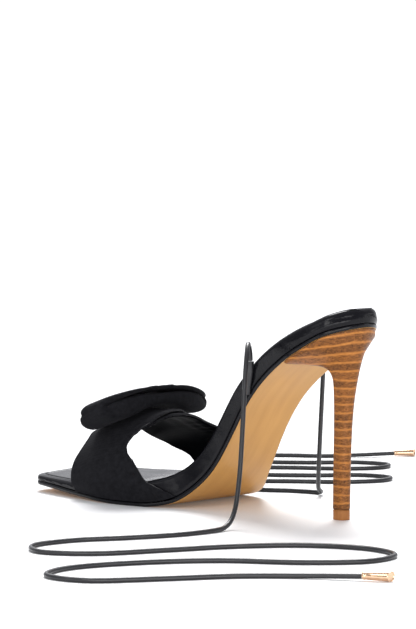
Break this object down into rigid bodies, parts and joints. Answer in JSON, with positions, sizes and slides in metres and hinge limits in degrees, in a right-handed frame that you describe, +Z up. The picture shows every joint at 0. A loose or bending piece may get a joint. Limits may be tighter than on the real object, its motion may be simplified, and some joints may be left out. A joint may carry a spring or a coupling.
{
  "type": "lace-up stiletto sandal",
  "caption": "Black square-toe sandal on a slim stacked-look stiletto heel, with crossed straps, a padded bow and loose ankle ties that end in gold caps; one right shoe.",
  "frame": {"origin": "On the floor, under the middle of the shoe's length and width; the laid-down ties aren't counted.", "axes": "+X runs from the heel to the toe, +Y to the medial side (the wearer's left), +Z up."},
  "size_m": [0.3742, 0.4799, 0.1058],
  "materials": {
    "footbed_leather": "glossy black padded footbed leather",
    "outsole_leather": "smooth tan sole leather, edge painted black",
    "stacked_heel": "stacked leather look, brown layers with thin lighter lines",
    "top_piece_rubber": "tan hard rubber",
    "strap_fabric": "matte black fabric, lined in glossy black",
    "bow_fabric": "matte black padded fabric",
    "tie_leather": "smooth black round leather tie",
    "gold_cap": "polished rose gold plate"
  },
  "bodies": {
    "root": {"insole": "footbed_leather", "outsole": "outsole_leather", "heel": "stacked_heel", "heel_top_piece": "top_piece_rubber", "upper": "strap_fabric", "bow_loop": "bow_fabric", "bow_knot": "bow_fabric", "tie_tab_medial": "tie_leather", "tie_tab_lateral": "tie_leather", "tie_cord_medial": "tie_leather", "tie_cord_lateral": "tie_leather", "tie_cap_medial": "gold_cap", "tie_cap_lateral": "gold_cap"}
  },
  "joints": []
}
